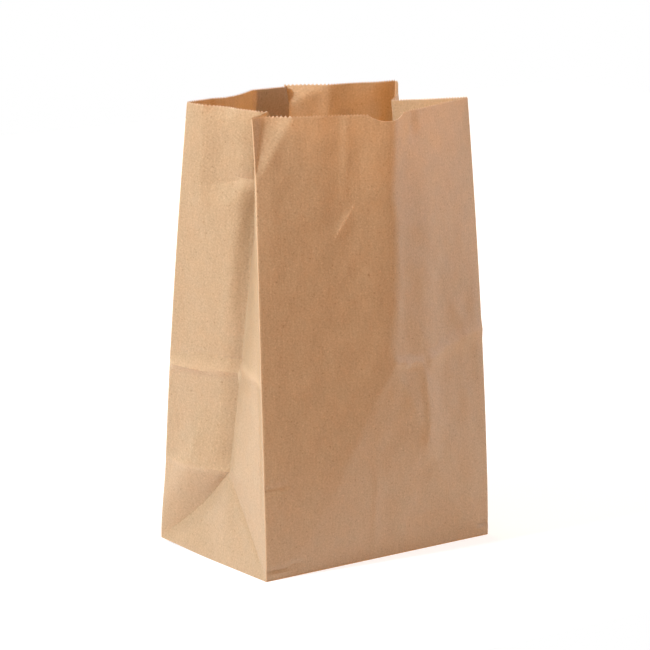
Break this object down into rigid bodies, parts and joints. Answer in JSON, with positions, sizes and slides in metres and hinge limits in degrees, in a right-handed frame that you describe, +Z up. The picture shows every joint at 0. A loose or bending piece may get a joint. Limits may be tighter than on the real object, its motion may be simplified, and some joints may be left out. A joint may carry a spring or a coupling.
{
  "type": "paper grocery bag",
  "caption": "Open kraft paper grocery bag with a flat glued base, sides folded in along the middle, a pinked rim and a thumb cut in the front panel.",
  "frame": {"origin": "middle of the base, on the surface that the bag stands on", "axes": "+Z up towards the open mouth, the front panel with the thumb cut faces -Y, +X to its right as seen from the front"},
  "size_m": [0.2152, 0.172, 0.3395],
  "materials": {
    "kraft_paper": "unbleached brown kraft paper, machine finished, with fine fibres and a faint sheen"
  },
  "bodies": {
    "root": {"paper_bag": "kraft_paper"}
  },
  "joints": []
}
